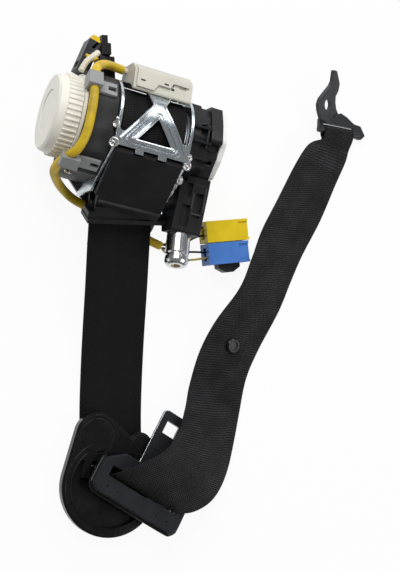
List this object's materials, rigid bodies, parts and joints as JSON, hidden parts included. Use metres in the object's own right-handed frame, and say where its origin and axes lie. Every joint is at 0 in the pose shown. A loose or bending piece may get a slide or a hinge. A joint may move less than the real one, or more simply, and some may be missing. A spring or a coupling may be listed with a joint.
{
  "type": "seat belt retractor",
  "caption": "Car seat belt retractor: sprung locking spool in a steel frame with gas tensioner, webbing, pillar loop, buckle tongue and floor anchor.",
  "frame": {"origin": "centre of the bolt hole in the lower lug of the mounting plate, in the plane of its bottom face", "axes": "+X along the spool axis towards the locking side, +Y up the retractor away from the webbing mouth, +Z out of the front of the frame, away from the mounting plate"},
  "size_m": [0.2635, 0.3835, 0.0752],
  "materials": {
    "zinc_steel": "zinc-plated pressed steel",
    "plate_steel": "grey coated steel",
    "black_plastic": "moulded, matt",
    "gloss_black": "moulded, smooth",
    "ivory_plastic": "moulded, satin",
    "white_plastic": "moulded, satin",
    "cream_plastic": "moulded, satin",
    "grey_plastic": "moulded, matt",
    "yellow_plastic": "moulded, satin",
    "yellow_sleeve": "taped harness sleeve",
    "blue_plastic": "moulded, satin",
    "chrome_steel": "bright plated steel",
    "bare_steel": "machined steel",
    "cast_alloy": "die cast",
    "brass_contact": "contact metal",
    "dark_steel": "black phosphated steel",
    "black_webbing": "woven polyester",
    "cable_cream": "cable sheath",
    "wire_black": "wire insulation",
    "wire_yellow": "wire insulation"
  },
  "bodies": {
    "retractor": {"frame": "zinc_steel", "mounting_plate": "plate_steel", "frame_rivets": "zinc_steel", "left_housing": "black_plastic", "spring_plate": "ivory_plastic", "spring_cap": "ivory_plastic", "return_spring": "bare_steel", "housing_screws": "zinc_steel", "clip_upper": "grey_plastic", "clip_lower": "grey_plastic", "harness_sleeve": "yellow_sleeve", "harness_cable": "cable_cream", "connector_holder": "black_plastic", "holder_insert": "yellow_plastic", "plug_housing": "black_plastic", "plug_lock": "yellow_plastic", "sensor_module": "cream_plastic", "module_lid": "cream_plastic", "module_cable": "cable_cream", "lock_housing": "black_plastic", "lock_cover": "white_plastic", "tensioner_housing": "black_plastic", "tensioner_tube": "bare_steel", "gas_generator": "chrome_steel", "igniter": "brass_contact", "webbing_guide": "black_plastic", "spool_bushes": "grey_plastic", "sensor_cage": "grey_plastic", "limiter_squib": "bare_steel", "webbing": "black_webbing", "button_front": "gloss_black", "button_back": "gloss_black", "yellow_plug": "yellow_plastic", "blue_plug": "blue_plastic", "wire_yellow_a": "wire_black", "wire_yellow_b": "wire_yellow", "wire_blue_a": "wire_black", "wire_blue_b": "wire_yellow", "webbing_eye": "black_webbing"},
    "spool": {"spool": "cast_alloy", "torsion_bar": "bare_steel", "webbing_roll": "black_webbing", "lock_base": "cast_alloy", "limiter_ring": "bare_steel", "spring_arbor": "white_plastic"},
    "control_disc": {"control_disc": "white_plastic"},
    "lock_pawl": {"lock_pawl": "bare_steel"},
    "inertia_pawl": {"inertia_pawl": "cast_alloy"},
    "sensor_ball": {"sensor_ball": "chrome_steel"},
    "sensor_lever": {"sensor_lever": "white_plastic"},
    "piston_rack": {"piston_rack": "bare_steel"},
    "drive_pinion": {"drive_pinion": "bare_steel"},
    "limiter_pawl": {"limiter_pawl": "bare_steel"},
    "pillar_loop": {"loop_core": "bare_steel", "loop_cover": "gloss_black"},
    "loop_flap": {"loop_cap": "gloss_black"},
    "tongue": {"tongue_plate": "dark_steel", "tongue_grip": "gloss_black"},
    "floor_anchor": {"floor_anchor": "dark_steel"},
    "plug_lock_tab": {"plug_secondary_lock": "black_plastic"}
  },
  "joints": [
    {"name": "spool_spin", "type": "hinge", "parent": "retractor", "child": "spool", "pos_m": [0, 0.07, 0.037], "axis": [1, 0, 0], "continuous": true},
    {"name": "disc_turn", "type": "hinge", "parent": "spool", "child": "control_disc", "pos_m": [0, 0.07, 0.037], "axis": [-1, 0, 0], "range_deg": [0, 12], "stiffness_Nm_per_rad": 0.01},
    {"name": "lock_pawl_turn", "type": "hinge", "parent": "spool", "child": "lock_pawl", "pos_m": [0, 0.0815, 0.037], "axis": [-1, 0, 0], "range_deg": [0, 30]},
    {"name": "inertia_pawl_turn", "type": "hinge", "parent": "control_disc", "child": "inertia_pawl", "pos_m": [0, 0.0615, 0.033], "axis": [1, 0, 0], "range_deg": [0, 8], "stiffness_Nm_per_rad": 0.005},
    {"name": "ball_shift", "type": "slide", "parent": "retractor", "child": "sensor_ball", "axis": [0, -1, 0], "range_m": [0, 0.001]},
    {"name": "sensor_lever_turn", "type": "hinge", "parent": "retractor", "child": "sensor_lever", "pos_m": [0, 0.0887, 0.0071], "axis": [1, 0, 0], "range_deg": [0, 15]},
    {"name": "piston_slide", "type": "slide", "parent": "retractor", "child": "piston_rack", "axis": [0, 0.9659, -0.2588], "range_m": [0, 0.027]},
    {"name": "pinion_turn", "type": "hinge", "parent": "retractor", "child": "drive_pinion", "pos_m": [0, 0.07, 0.037], "axis": [1, 0, 0], "range_deg": [0, 116]},
    {"name": "limiter_pawl_turn", "type": "hinge", "parent": "retractor", "child": "limiter_pawl", "pos_m": [0, 0.058, 0.015], "axis": [-1, 0, 0], "range_deg": [0, 10], "stiffness_Nm_per_rad": 0.02},
    {"name": "loop_swivel", "type": "hinge", "parent": "retractor", "child": "pillar_loop", "pos_m": [0.046, -0.165, 0.006], "axis": [0, 0, 1], "range_deg": [-4, 4]},
    {"name": "cap_flip", "type": "hinge", "parent": "pillar_loop", "child": "loop_flap", "pos_m": [0.01613, -0.13137, 0.0116], "axis": [-0.8945, -0.447, 0], "range_deg": [0, 110]},
    {"name": "tongue_tip", "type": "hinge", "parent": "retractor", "child": "tongue", "pos_m": [0.059, -0.177, 0.0195], "axis": [0.9397, -0.342, 0], "range_deg": [-0.8, 3]},
    {"name": "anchor_swing", "type": "hinge", "parent": "retractor", "child": "floor_anchor", "pos_m": [0.1676, 0.1248, 0.0085], "axis": [0.9674, 0.1446, -0.2079], "range_deg": [0, 60]},
    {"name": "plug_lock_slide", "type": "slide", "parent": "retractor", "child": "plug_lock_tab", "axis": [0.309, -0.9511, 0], "range_m": [0, 0.003]}
  ],
  "couplings": [
    {"joint": "lock_pawl_turn", "follows": "disc_turn", "ratio": 1.4167},
    {"joint": "sensor_lever_turn", "follows": "ball_shift", "rad_per_m": 143},
    {"joint": "pinion_turn", "follows": "piston_slide", "rad_per_m": 74.074}
  ]
}
